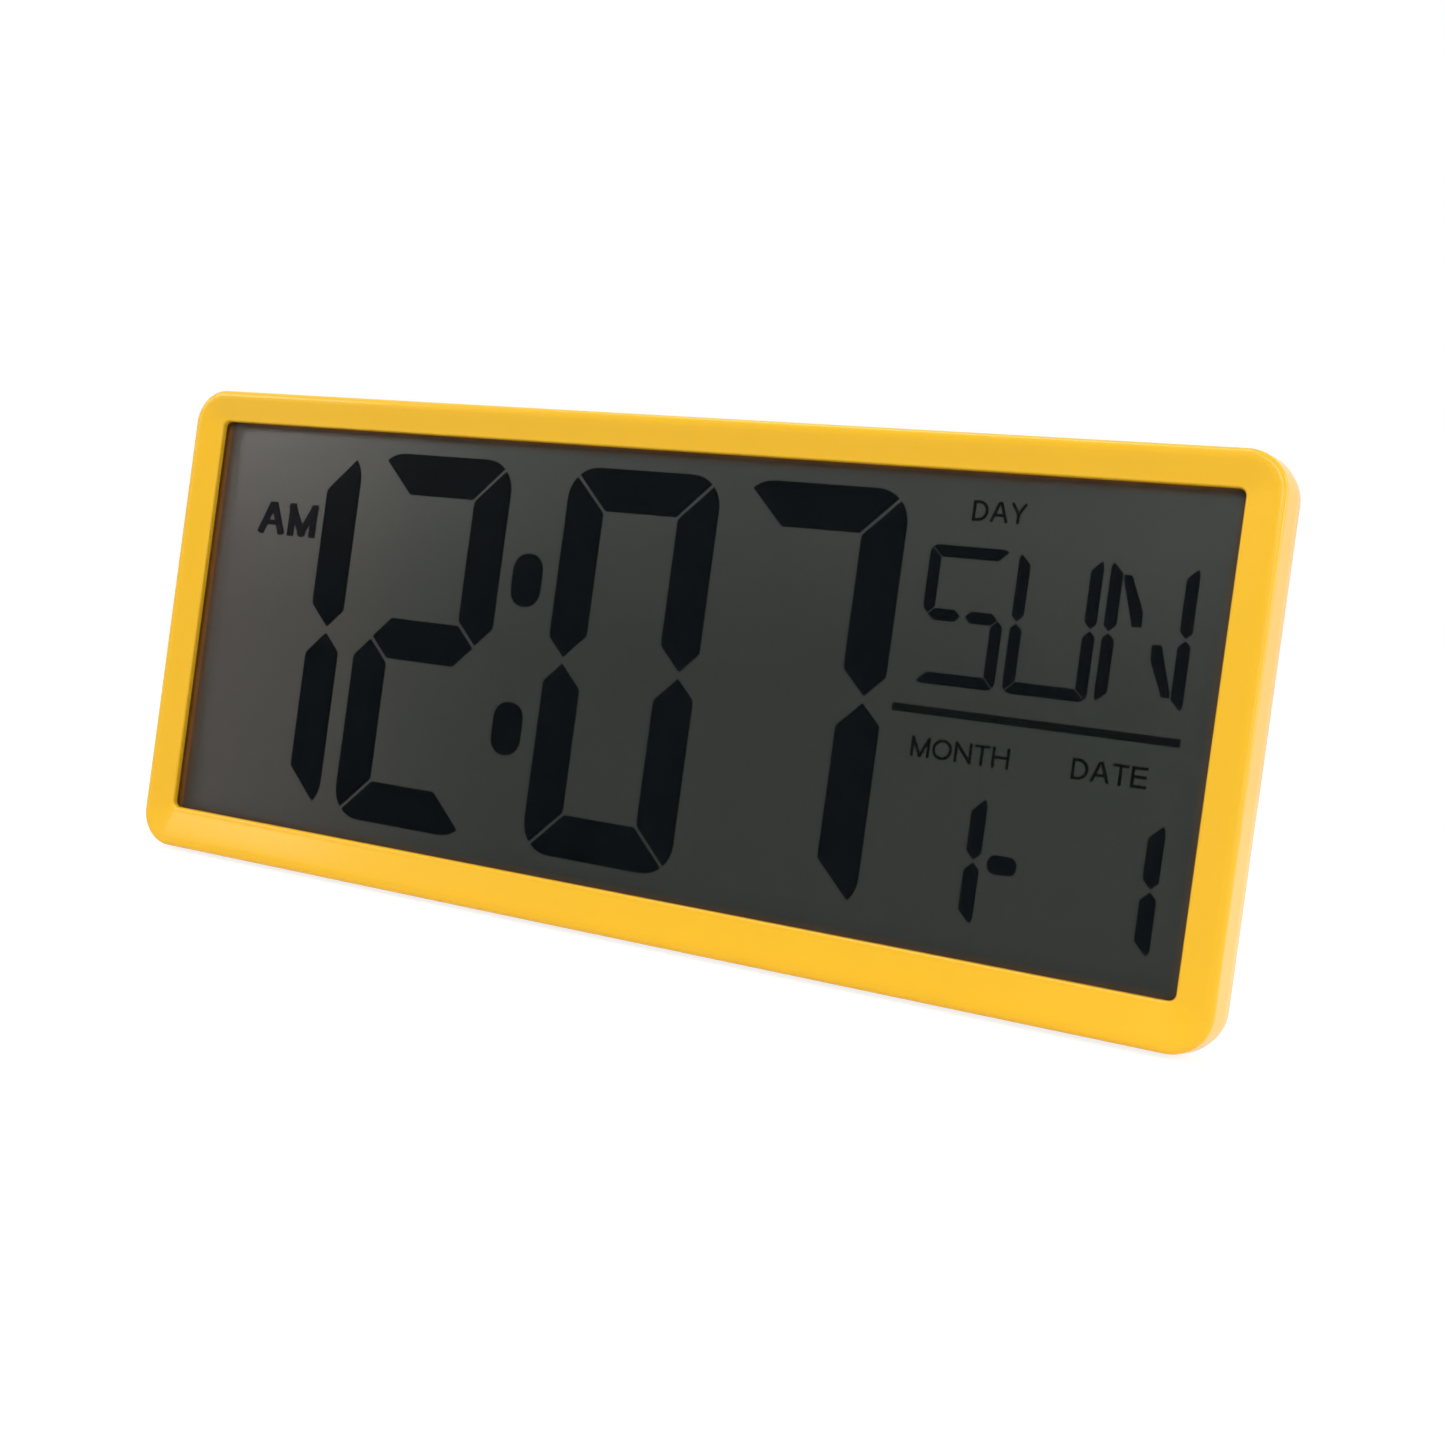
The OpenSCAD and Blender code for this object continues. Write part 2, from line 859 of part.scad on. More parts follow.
// Outline of the battery door's opening, or of the door itself when shrunk.
module door_outline(shrink) {
    translate([bay_x0 - door_ledge + shrink, door_low + shrink])
        square([bay_l + 2 * door_ledge - 2 * shrink, bay_h + 2 * door_ledge - 2 * shrink]);
    translate([bay_x - latch_w / 2 + shrink, bay_top])
        square([latch_w - 2 * shrink, door_ledge + latch_up - shrink]);
}

module cover_body() {
    translate([0, front_y + case_d, case_h / 2])
        rotate([90, 0, 0])
            open_box(hump_w, hump_h, hump_r, case_d - flange_d, cover_t, cover_t, hump_edge_r);
    slab(flange_d, bezel_d)
        difference() {
            case_outline(wall + fit_gap);
            translate([0, case_h / 2])
                rounded_rect(hump_w - 2 * cover_t, hump_h - 2 * cover_t, hump_r - cover_t);
        }
    block(
        [bay_x0 - bay_wall, bay_x1 + bay_wall],
        [bay_low - bay_wall, bay_top + bay_wall],
        bay_floor_d - bay_floor_t,
        back_in_d + cover_t / 2
    );
    block(
        [-channel_x - channel_wall, channel_x + channel_wall],
        [hump_low + cover_t / 2, pocket_top + channel_wall],
        channel_d - channel_wall,
        back_in_d + cover_t / 2
    );
    block(
        [-channel_x - channel_wall, channel_x + channel_wall],
        [pocket_low - channel_wall, pocket_top + channel_wall],
        pocket_d - channel_wall,
        back_in_d + cover_t / 2
    );
    for (p = press_spots)
        rod(p, press_r, tray_rear_d, back_in_d + cover_t / 2);
    for (x = button_x)
        rod([x, button_z], button_flange_r + run_gap + well_t, button_flange_d - 3, back_in_d + cover_t / 2);
}

module rear_cover() {
    color("darkslategray")
        difference() {
            cover_body();
            // battery bay, its door and the slots for the door's tabs and the contacts' tabs
            block([bay_x0, bay_x1], [bay_low, bay_top], bay_floor_d, case_d + 1);
            slab(back_in_d - run_gap, case_d + 1)
                door_outline(0);
            for (x = door_tab_x)
                block(
                    [x - door_tab_w / 2 - run_gap, x + door_tab_w / 2 + run_gap],
                    [door_low - door_tab_in - 0.7, bay_low + 1],
                    door_tab_d - 1.4,
                    back_in_d
                );
            for (z = cell_z)
                block(
                    [bay_x0 - bay_wall - 1, bay_x0 + 1],
                    [z - tab_half - 0.1, z + tab_half + 0.1],
                    cell_d - strip_t / 2 - 0.1,
                    cell_d + strip_t / 2 + 0.1
                );
            // channel of the leg, the deeper pocket at its hinge and the holes for the hinge pin
            block([-channel_x, channel_x], [0, pocket_top], channel_d, case_d + 1);
            block([-channel_x, channel_x], [pocket_low, pocket_top], pocket_d, case_d + 1);
            bar_x(-channel_x - channel_wall - 1, channel_x + channel_wall + 1, hinge_d, hinge_z, pin_r + 0.02);
            for (s = [-1, 1])
                keyhole(s * key_span / 2);
            for (x = button_x) {
                rod([x, button_z], button_r + run_gap, back_in_d - 1, case_d + 1);
                rod([x, button_z], button_flange_r + run_gap, button_flange_d - 4, back_in_d);
            }
            for (p = case_screw_spots)
                rod(p, screw_r + 0.15, flange_d - 1, bezel_d + 1);
        }
}

module battery_door() {
    color("darkslategray")
        difference() {
            union() {
                slab(case_d - 0.2 - door_t, case_d - 0.2)
                    door_outline(run_gap);
                for (x = door_tab_x) {
                    block(
                        [x - door_tab_w / 2, x + door_tab_w / 2],
                        [door_low - door_tab_in, door_low + door_tab_in],
                        door_tab_d,
                        door_tab_d + door_tab_t
                    );
                    block(
                        [x - door_tab_w / 2, x + door_tab_w / 2],
                        [door_low + 0.5, door_low + door_tab_in],
                        door_tab_d,
                        case_d - 0.2 - door_t / 2
                    );
                }
            }
            // finger grooves on the latch tongue
            for (i = [0:2])
                block(
                    [bay_x - latch_w * 0.36, bay_x + latch_w * 0.36],
                    [bay_top - 1.5 + i * 2, bay_top - 0.6 + i * 2],
                    case_d - 0.7,
                    case_d
                );
        }
}

module stand_leg() {
    color("dimgray")
        difference() {
            union() {
                slab(hinge_d - leg_t / 2, hinge_d + leg_t / 2) {
                    translate([0, hinge_z + heel_up - (leg_len + heel_up) / 2])
                        rounded_rect(stand_w, leg_len + heel_up, heel_up);
                    translate([-stand_w / 2, hinge_z - heel_up])
                        square([stand_w, 2 * heel_up]);
                }
                bar_x(-stand_w / 2, stand_w / 2, hinge_d, hinge_z, barrel_r);
            }
            bar_x(-stand_w, stand_w, hinge_d, hinge_z, pin_r + pin_play);
            // shallow panel on the outer face
            slab(hinge_d + leg_t / 2 - 0.8, case_d)
                translate([0, hinge_z - leg_len / 2 - 2])
                    rounded_rect(stand_w - 16, leg_len - 20, 4);
        }
}

module stand_pin() {
    color("silver")
        bar_x(-channel_x - channel_wall, channel_x + channel_wall, hinge_d, hinge_z, pin_r);
}

// AA cell along X with its positive end at x, facing left for s = -1 and right for s = 1.
module aa_cell(x, z, s) {
    translate(at(x, cell_d, z))
        rotate([0, -90 * s, 0])
            rotate_extrude()
                polygon([
                    [0, 0], [nub_r - 0.3, 0], [nub_r, 0.3], [nub_r, nub_len], [cell_r - 0.4, nub_len],
                    [cell_r, nub_len + 0.4], [cell_r, cell_len - 0.4], [cell_r - 0.4, cell_len], [0, cell_len]
                ]);
}

module upper_battery() {
    color("orange")
        aa_cell(bay_x0 + strip_t, cell_z[0], -1);
}

module lower_battery() {
    color("orange")
        aa_cell(bay_x1 - strip_t, cell_z[1], 1);
}

// Flat contact plate on the bay's left end, with a tab out through the wall.
module end_contact(z) {
    block(
        [bay_x0, bay_x0 + strip_t],
        [z - strip_half, z + strip_half],
        cell_d - strip_half,
        cell_d + strip_half
    );
    block(
        [lead_start_x, bay_x0 + strip_t / 2],
        [z - tab_half, z + tab_half],
        cell_d - strip_t / 2,
        cell_d + strip_t / 2
    );
}

// Bowed leaf spring that stands on a contact plate and touches a cell's flat end, towards +X for s = 1.
module bow_spring(x, z, s) {
    intersection() {
        translate(at(x, cell_d, z - 3))
            difference() {
                cylinder(r = spring_r, h = 6);
                translate([0, 0, -1])
                    cylinder(r = spring_r - 0.4, h = 8);
            }
        block(
            [min(x - s * 0.2, x + s * spring_r * 2), max(x - s * 0.2, x + s * spring_r * 2)],
            [z - 4, z + 4],
            cell_d - spring_r - 1,
            cell_d + spring_r + 1
        );
    }
}

module positive_contact() {
    color("silver")
        end_contact(cell_z[0]);
}

module negative_contact() {
    color("silver") {
        end_contact(cell_z[1]);
        bow_spring(bay_x0 + strip_t, cell_z[1], 1);
    }
}

module link_contact() {
    color("silver") {
        block(
            [bay_x1 - strip_t, bay_x1],
            [cell_z[1] - strip_half, cell_z[0] + strip_half],
            cell_d - strip_half,
            cell_d + strip_half
        );
        bow_spring(bay_x1 - strip_t, cell_z[0], -1);
    }
}

// Points of a quarter bend at corner p, coming in along a and leaving along b.
function bend(p, a, b) =
    [for (i = [0:4]) let (t = 22.5 * i) p + lead_bend * (b - a - b * cos(t) + a * sin(t))];

// Six-sided tube along a path, closed at both ends.
module tube(path, r) {
    n = 6;
    last = len(path) - 1;
    points = [
        for (i = [0:last])
            let (t = path[min(i + 1, last)] - path[max(i - 1, 0)])
            let (u = cross(t, [1, 2, 3]) / norm(cross(t, [1, 2, 3])))
            let (v = cross(t, u) / norm(cross(t, u)))
            for (j = [0:n - 1])
                path[i] + r * (u * cos(360 * j / n) + v * sin(360 * j / n))
    ];
    faces = concat(
        [[for (j = [0:n - 1]) j]],
        [[for (j = [0:n - 1]) last * n + n - 1 - j]],
        [
            for (i = [0:last - 1])
                for (j = [0:n - 1])
                    for (f = [0, 1])
                        let (k = (j + 1) % n)
                        f == 0
                            ? [i * n + j, (i + 1) * n + j, (i + 1) * n + k]
                            : [i * n + j, (i + 1) * n + k, i * n + k]
        ]
    );
    polyhedron(points, faces);
}

// Lead from a contact's tab, down beside the bay and across to the board.
module lead(z, down_x, across_z, end_x) {
    left = [-1, 0, 0];
    down = [0, 0, -1];
    forward = [0, -1, 0];
    tube(
        concat(
            [at(lead_start_x, lead_d, z)],
            bend(at(down_x, lead_d, z), left, down),
            bend(at(down_x, lead_d, across_z), down, left),
            bend(at(end_x, lead_d, across_z), left, forward),
            [at(end_x, board_rear_d, across_z)]
        ),
        lead_r
    );
}

module red_lead() {
    color("red")
        lead(cell_z[0], lead_drop_x - lead_gap, lead_across_z + lead_step_z, lead_end_x - lead_gap);
}

module black_lead() {
    color("black")
        lead(cell_z[1], lead_drop_x, lead_across_z, lead_end_x);
}

front_bezel();
window_gasket();
front_polariser();
lcd_front_glass();
lcd_seal();
time_segments();
colon_dots();
day_segments();
date_segments();
legend_marks();
lcd_rear_glass();
rear_reflector();
lcd_tray();
zebra_strip();
main_board();
board_screws();
chip_blob();
quartz_crystal();
chip_capacitors();
filter_capacitor();
switch_bodies();
mode_plunger();
set_plunger();
up_plunger();
down_plunger();
mode_button();
set_button();
up_button();
down_button();
rear_cover();
case_screws();
battery_door();
upper_battery();
lower_battery();
positive_contact();
negative_contact();
link_contact();
red_lead();
black_lead();
stand_leg();
stand_pin();
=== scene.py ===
"""Looks of the large digital wall clock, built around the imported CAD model. Metres, Z up."""

import math

import bmesh
import bpy
from mathutils import Matrix, Quaternion, Vector


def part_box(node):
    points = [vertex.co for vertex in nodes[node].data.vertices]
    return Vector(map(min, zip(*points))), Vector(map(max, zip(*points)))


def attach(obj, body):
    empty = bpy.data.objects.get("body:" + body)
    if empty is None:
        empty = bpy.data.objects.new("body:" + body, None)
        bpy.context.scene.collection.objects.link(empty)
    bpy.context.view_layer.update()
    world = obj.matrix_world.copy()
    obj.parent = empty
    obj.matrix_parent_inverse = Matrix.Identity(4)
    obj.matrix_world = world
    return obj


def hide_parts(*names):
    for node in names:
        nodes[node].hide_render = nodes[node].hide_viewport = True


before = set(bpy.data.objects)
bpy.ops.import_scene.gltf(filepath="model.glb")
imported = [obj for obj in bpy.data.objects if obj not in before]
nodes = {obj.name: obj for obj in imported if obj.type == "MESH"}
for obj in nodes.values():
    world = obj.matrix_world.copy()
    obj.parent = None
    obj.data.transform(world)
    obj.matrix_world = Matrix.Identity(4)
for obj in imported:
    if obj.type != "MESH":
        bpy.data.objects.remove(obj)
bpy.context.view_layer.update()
MM = 0.001

# sizes of the case in millimetres, as in the CAD source
CASE_W, CASE_H, CASE_D = 366.0, 160.0, 30.0
CORNER_R, BEZEL_D, WALL = 12.6, 18.0, 2.2
WALL_DRAFT, WALL_LAND = 1.1, 6.0
SIDE_BAR, TOP_BAR, BOTTOM_BAR = 11.7, 11.3, 14.5
DISH, LIP, EDGE_R, WINDOW_R = 2.3, 1.9, 1.6, 2.2
PLATE = DISH + LIP
CREST_IN = WALL_DRAFT + EDGE_R + 0.4
win_w = CASE_W - 2 * SIDE_BAR
win_h = CASE_H - TOP_BAR - BOTTOM_BAR
win_cz = BOTTOM_BAR + win_h / 2


def srgb(r, g, b, a=1.0):
    """Colour written as 0 to 255 display values, in linear light."""
    def line(c):
        c /= 255
        return c / 12.92 if c <= 0.04045 else ((c + 0.055) / 1.055) ** 2.4
    return (line(r), line(g), line(b), a)


# Materials

class Graph:
    """Writes one material's nodes in few lines."""

    def __init__(self, name):
        self.mat = bpy.data.materials.new(name)
        self.mat.use_nodes = True
        self.tree = self.mat.node_tree
        self.tree.nodes.clear()
        self.out = self.tree.nodes.new("ShaderNodeOutputMaterial")

    def add(self, kind, inputs=None, **props):
        node = self.tree.nodes.new("ShaderNode" + kind)
        for key, value in props.items():
            setattr(node, key, value)
        for key, value in (inputs or {}).items():
            self.put(node, key, value)
        return node

    def put(self, node, key, value):
        socket = node.inputs[key]
        if isinstance(value, bpy.types.NodeSocket):
            self.tree.links.new(value, socket)
        else:
            socket.default_value = value

    def coords(self, scale=(1, 1, 1)):
        """Place on the part in metres, stretched along the axes."""
        where = self.add("TexCoord").outputs["Object"]
        return self.add("Mapping", {"Vector": where, "Scale": scale}).outputs["Vector"]

    def noise(self, scale, detail=2.0, stretch=(1, 1, 1)):
        node = self.add("TexNoise", {"Vector": self.coords(stretch), "Scale": scale, "Detail": detail})
        return node.outputs["Fac"]

    def remap(self, value, low, high):
        """Noise in the range that it mostly takes, spread over low to high."""
        node = self.add("MapRange", {
            "Value": value, "From Min": 0.3, "From Max": 0.7, "To Min": low, "To Max": high,
        })
        return node.outputs["Result"]

    def ease(self, value, low, high):
        """Smooth step from 0 at low to 1 at high."""
        ends = {"Value": value, "From Min": low, "From Max": high}
        node = self.add("MapRange", ends, interpolation_type="SMOOTHSTEP")
        return node.outputs["Result"]

    def mix(self, factor, a, b):
        node = self.add("MixRGB", {"Fac": factor, "Color1": a, "Color2": b})
        return node.outputs["Color"]

    def bump(self, height, distance, strength=1.0):
        node = self.add("Bump", {"Height": height, "Distance": distance, "Strength": strength})
        return node.outputs["Normal"]

    def blend(self, share, a, b):
        """Mix of two shaders, all of the second where the share is 1."""
        node = self.add("MixShader", {0: share})
        for k, shader in ((1, a), (2, b)):
            self.tree.links.new(shader.outputs[0], node.inputs[k])
        return node

    def surface(self, shader):
        self.tree.links.new(shader.outputs[0], self.out.inputs["Surface"])
        return self.mat


def shade(colour, k):
    return (colour[0] * k, colour[1] * k, colour[2] * k, 1.0)


def principled(mat):
    """The shader that holds a material's main settings."""
    return next(n for n in mat.node_tree.nodes if n.type == "BSDF_PRINCIPLED")


def moulded(name, colour, rough, grain=1500, depth=0.00002, vary=0.94, coat=0.0):
    """Moulded plastic or rubber with a fine skin texture, and slight drift in colour and gloss."""
    g = Graph(name)
    broad = g.noise(45, 3)
    fine = g.noise(grain, 2)
    return g.surface(g.add("BsdfPrincipled", {
        "Base Color": g.mix(broad, shade(colour, vary), colour),
        "Roughness": g.remap(fine, rough - 0.04, rough + 0.05),
        "Normal": g.bump(fine, depth),
        "Coat Weight": coat,
    }))


def metal(name, colour, rough, stretch=(1, 1, 1), grain=2500):
    """Plated or brushed metal, with fine lines across the stretched axis."""
    g = Graph(name)
    lines = g.noise(grain, 3, stretch)
    broad = g.noise(120, 2)
    return g.surface(g.add("BsdfPrincipled", {
        "Base Color": g.mix(broad, shade(colour, 0.86), colour),
        "Metallic": 1.0,
        "Roughness": g.remap(lines, rough - 0.07, rough + 0.1),
        "Normal": g.bump(lines, 0.000004),
    }))


def see_through(name, tint, gloss, rough, grain):
    """Thin clear sheet: light passes with a tint and a little of it is mirrored softly."""
    g = Graph(name)
    fine = g.noise(grain, 2)
    clear = g.add("BsdfTransparent", {"Color": tint})
    shine = g.add("BsdfGlossy", {
        "Color": (1, 1, 1, 1),
        "Roughness": g.remap(fine, rough - 0.04, rough + 0.04),
    })
    return g.surface(g.blend(gloss, clear, shine))


def reflector(name, half_w, half_h, centre_z):
    """Metallised film behind the display: a rough mirror with painted glare, a painted reflection of the
    yellow lip in amber and brown along the opening, and painted light over the lip's shadow at the left
    edge.
    """
    g = Graph(name)
    place = g.add("SeparateXYZ", {"Vector": g.coords()}).outputs

    def past(axis, sign, edge):
        """Distance beyond an edge of the opening, negative inside it."""
        node = g.add("Math", {0: place[axis], 1: sign, 2: -sign * edge}, operation="MULTIPLY_ADD")
        return node.outputs[0]

    def larger(a, b):
        return g.add("Math", {0: a, 1: b}, operation="MAXIMUM").outputs[0]

    grain = g.noise(1400, 2)
    # painted glare: the film is lighter and warmer towards the left end and lighter towards the top, where
    # the lamps' reflection falls
    across = g.mix(g.ease(place["X"], *FILM_ACROSS), FILM_LEFT, FILM_RIGHT)
    glared_top = g.mix(TOP_GLARE_SHARE, across, TOP_GLARE)
    film = g.add("BsdfPrincipled", {
        "Base Color": g.mix(g.ease(place["Z"], *TOP_GLARE_UPWARD), across, glared_top),
        "Metallic": 0.6,
        "Specular IOR Level": 0.0,
        "Roughness": g.remap(grain, 0.29, 0.35),
        "Normal": g.bump(grain, 0.000003),
    })
    # painted reflection of the yellow lip: amber under the lip and brown at the edge of the opening,
    # lowered at the bottom edge
    upright = larger(past("Z", 1, centre_z + half_h), past("Z", -1, centre_z - half_h - RING_DROP))
    ring = larger(past("X", 1, half_w), upright)
    lip_reflection = g.add("BsdfDiffuse", {"Color": g.mix(g.ease(ring, *RING_AMBER), BROWN, AMBER)})
    bordered = g.blend(g.ease(ring, *RING_REFLECTION), film, lip_reflection)
    # painted light at the left edge: a diffuse fill over the lip's shadow, lighter towards the top, going
    # over to the lip's painted brown and amber reflection at the edge
    left = past("X", -1, -half_w)
    left_light = g.mix(g.ease(place["Z"], *LEFT_LIGHT_UPWARD), LEFT_LIGHT_LOW, LEFT_LIGHT_HIGH)
    left_light = g.mix(g.ease(left, *LEFT_BROWN), left_light, BROWN)
    left_light = g.mix(g.ease(left, *LEFT_AMBER), left_light, AMBER)
    left_light_shader = g.add("BsdfDiffuse", {"Color": left_light})
    return g.surface(g.blend(g.ease(left, *LEFT_LIGHT_SPAN), bordered, left_light_shader))


def striped(name, dark, light, pitch, axis, rough):
    """Rubber built of thin layers along one axis."""
    g = Graph(name)
    layers = {"Vector": g.coords(), "Scale": 0.314 / pitch, "Distortion": 0.0}
    wave = g.add("TexWave", layers, bands_direction=axis)
    fine = g.noise(1800, 2)
    return g.surface(g.add("BsdfPrincipled", {
        "Base Color": g.mix(wave.outputs["Fac"], dark, light),
        "Roughness": g.remap(fine, rough - 0.05, rough + 0.05),
        "Normal": g.bump(fine, 0.00001),
    }))


def board(name):
    """Green solder mask over copper tracks that run in steps."""
    g = Graph(name)
    cells = g.add("TexBrick", {
        "Vector": g.coords((1, 0, 1)),
        "Color1": srgb(14, 74, 38), "Color2": srgb(17, 82, 44), "Mortar": srgb(30, 112, 62),
        "Scale": 60.0, "Mortar Size": 0.03, "Brick Width": 0.7, "Row Height": 0.19,
    })
    fine = g.noise(2500, 2)
    return g.surface(g.add("BsdfPrincipled", {
        "Base Color": cells.outputs["Color"],
        "Roughness": g.remap(fine, 0.24, 0.34),
        "Normal": g.bump(cells.outputs["Fac"], 0.00003, 0.6),
    }))


def cell_can(name, positive_x, towards):
    """Plain two-colour sleeve of a dry cell with bare metal at both ends."""
    g = Graph(name)
    along = g.add("SeparateXYZ", {"Vector": g.coords()}).outputs["X"]
    length = g.add("MapRange", {
        "Value": along, "From Min": positive_x, "From Max": positive_x + towards * CELL_LEN * MM,
    }).outputs["Result"]
    bands = g.add("ValToRGB", {"Fac": length})
    ramp = bands.color_ramp
    ramp.interpolation = "CONSTANT"
    steel, pale, sleeve = srgb(186, 184, 178), srgb(206, 208, 206), srgb(70, 92, 104)
    for spot, colour in ((0.022, pale), (0.14, sleeve), (0.985, steel)):
        ramp.elements.new(spot).color = colour
    ramp.elements[0].color = steel
    ramp.elements.remove(ramp.elements[-1])
    fine = g.noise(900, 2)
    return g.surface(g.add("BsdfPrincipled", {
        "Base Color": bands.outputs["Color"],
        "Metallic": 0.55,
        "Roughness": g.remap(fine, 0.28, 0.34),
        "Normal": g.bump(fine, 0.0000015),
    }))


def marked_button(name, node):
    """Button cap whose sunk mark is filled with pale paint."""
    low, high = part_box(node)
    g = Graph(name)
    fine = g.noise(1900, 2)
    middle = ((low[0] + high[0]) / 2, 0.0, (low[2] + high[2]) / 2)
    flat = g.coords((1, 0, 1))
    away = g.add("VectorMath", {0: flat, 1: middle}, operation="DISTANCE").outputs["Value"]
    depth = g.add("SeparateXYZ", {"Vector": g.coords()}).outputs["Y"]
    inside = g.add("Math", {0: away, 1: MARK_REACH * MM}, operation="LESS_THAN").outputs[0]
    sunk = g.add("Math", {0: depth, 1: high[1] - MARK_DEPTH * MM}, operation="LESS_THAN").outputs[0]
    paint = g.add("Math", {0: inside, 1: sunk}, operation="MULTIPLY").outputs[0]
    cap = g.mix(g.noise(45, 3), shade(BUTTON_GREY, 0.9), BUTTON_GREY)
    return g.surface(g.add("BsdfPrincipled", {
        "Base Color": g.mix(paint, cap, MARK_PAINT),
        "Roughness": g.remap(fine, 0.38, 0.47),
        "Normal": g.bump(fine, 0.00002),
    }))


def printed_marks(name):
    """Legends, paler at the left end of the display than at the right."""
    g = Graph(name)
    x = g.add("SeparateXYZ", {"Vector": g.coords()}).outputs["X"]
    ink = g.mix(g.ease(x, *LEGEND_ACROSS), LEGEND_LEFT, LEGEND_RIGHT)
    fine = g.noise(900, 2)
    return g.surface(g.add("BsdfPrincipled", {
        "Base Color": ink,
        "Roughness": g.remap(fine, 0.86, 0.95),
        "Normal": g.bump(fine, 0.000002),
    }))


YELLOW = (0.885, 0.49, 0.0065, 1.0)
BLACK_ABS = srgb(38, 38, 40)
BUTTON_GREY, MARK_PAINT = srgb(92, 93, 95), srgb(214, 214, 210)
LEGEND_LEFT, LEGEND_RIGHT = (0.007, 0.007, 0.0095, 1.0), (0.003, 0.0045, 0.0045, 1.0)
SEGMENT_DARK = (0.002, 0.0035, 0.005, 1.0)
# the film's colours, lighter at the left end and towards the top for a painted glare
FILM_LEFT = (0.083, 0.0765, 0.072, 1.0)
FILM_RIGHT = (0.0365, 0.0415, 0.0385, 1.0)
TOP_GLARE, TOP_GLARE_SHARE = (0.2, 0.2, 0.2, 1.0), 0.11
# colours of the yellow lip's painted reflection, also used at the left edge
AMBER = (0.42, 0.165, 0.035, 1.0)
BROWN = (0.11, 0.066, 0.04, 1.0)
# colours of the painted light at the left edge, darker low and lighter high
LEFT_LIGHT_LOW, LEFT_LIGHT_HIGH = (0.085, 0.075, 0.066, 1.0), (0.135, 0.12, 0.112, 1.0)

# stretches over which the display's colours change, in metres along X or up Z
FILM_ACROSS, LEGEND_ACROSS = (-0.19, -0.03), (-0.12, 0.06)
TOP_GLARE_UPWARD, LEFT_LIGHT_UPWARD = (0.08, 0.165), (0.02, 0.14)
# the same at the edges of the opening, in metres past the edge
RING_REFLECTION, RING_AMBER, RING_DROP = (-0.003, 0.0003), (-0.0008, 0.0012), 0.0009
LEFT_LIGHT_SPAN, LEFT_BROWN, LEFT_AMBER = (-0.0065, -0.0025), (-0.0035, 0.0), (-0.0006, 0.0014)
# paint in a button's mark, and the cells' length and plus ends, in millimetres
MARK_REACH, MARK_DEPTH = 2.6, 0.25
CELL_LEN, UPPER_PLUS_X, LOWER_PLUS_X = 50.5, 72.0, 128.0

bezel_mat = moulded("satin_yellow", YELLOW, 0.42, 2200, 0.000012, 0.965, 0.4)
principled(bezel_mat).inputs["Specular IOR Level"].default_value = 0.22
principled(bezel_mat).inputs["Coat Roughness"].default_value = 0.14
cover_mat = moulded("textured_black", BLACK_ABS, 0.52, 1700, 0.00006, 0.85)
leg_mat = moulded("textured_black_leg", srgb(44, 44, 46), 0.46, 1700, 0.00004, 0.85)
switch_mat = moulded("switch_black", srgb(30, 30, 31), 0.5, 1500, 0.00002, 0.85)
steel_mat = metal("zinc_steel", srgb(178, 178, 182), 0.3, (1, 6, 1))
nickel_mat = metal("nickel_strip", srgb(204, 200, 190), 0.22, (6, 1, 1))
materials = {
    # the gasket's tan colour paints the yellow lip's reflection where it shows at the opening's edge
    "window_gasket": moulded("foam_tan_lip_reflection", srgb(122, 72, 24), 0.9, 700, 0.0001, 0.7),
    "front_polariser": see_through("polariser", (0.92, 0.92, 0.915, 1.0), 0.0025, 0.3, 1500),
    "lcd_front_glass": see_through("front_glass", (1.0, 1.0, 0.998, 1.0), 0.001, 0.12, 300),
    "lcd_rear_glass": see_through("rear_glass", (1.0, 1.0, 0.998, 1.0), 0.001, 0.12, 300),
    "lcd_seal": moulded("seal_grey", srgb(92, 94, 92), 0.5, 900, 0.00002),
    "rear_reflector": reflector("reflector_film", win_w / 2 * MM, win_h / 2 * MM, win_cz * MM),
    "lcd_tray": moulded("tray_white", srgb(222, 222, 217), 0.45, 1200, 0.00002, 0.96),
    "zebra_strip": striped("zebra_rubber", srgb(60, 56, 56), srgb(214, 170, 160), 0.0004, "X", 0.55),
    "main_board": board("solder_mask"),
    "board_screws": steel_mat,
    "case_screws": steel_mat,
    "stand_pin": steel_mat,
    "chip_blob": moulded("epoxy_blob", srgb(20, 20, 21), 0.3, 600, 0.00004, 0.8, 0.3),
    "quartz_crystal": metal("crystal_can", srgb(206, 204, 198), 0.2, (1, 5, 5)),
    "chip_capacitors": moulded("ceramic_tan", srgb(168, 130, 92), 0.5, 2200, 0.00001, 0.85),
    "filter_capacitor": moulded("sleeve_blue", srgb(28, 34, 84), 0.28, 700, 0.00001, 0.9, 0.3),
    "switch_bodies": switch_mat,
    "rear_cover": cover_mat,
    "battery_door": cover_mat,
    "stand_leg": leg_mat,
    "upper_battery": cell_can("upper_cell", UPPER_PLUS_X * MM, 1),
    "lower_battery": cell_can("lower_cell", LOWER_PLUS_X * MM, -1),
    "positive_contact": nickel_mat,
    "negative_contact": nickel_mat,
    "link_contact": nickel_mat,
    "red_lead": moulded("insulation_red", srgb(170, 26, 22), 0.38, 900, 0.00001, 0.9),
    "black_lead": moulded("insulation_black", srgb(24, 24, 25), 0.38, 900, 0.00001, 0.85),
}
for key in ("mode", "set", "up", "down"):
    materials[key + "_button"] = marked_button(key + "_cap", key + "_button")
    materials[key + "_plunger"] = switch_mat
segment_mat = moulded("segment_dark", SEGMENT_DARK, 0.9, 900, 0.000002, 0.8)
legend_mat = printed_marks("legend_dark")
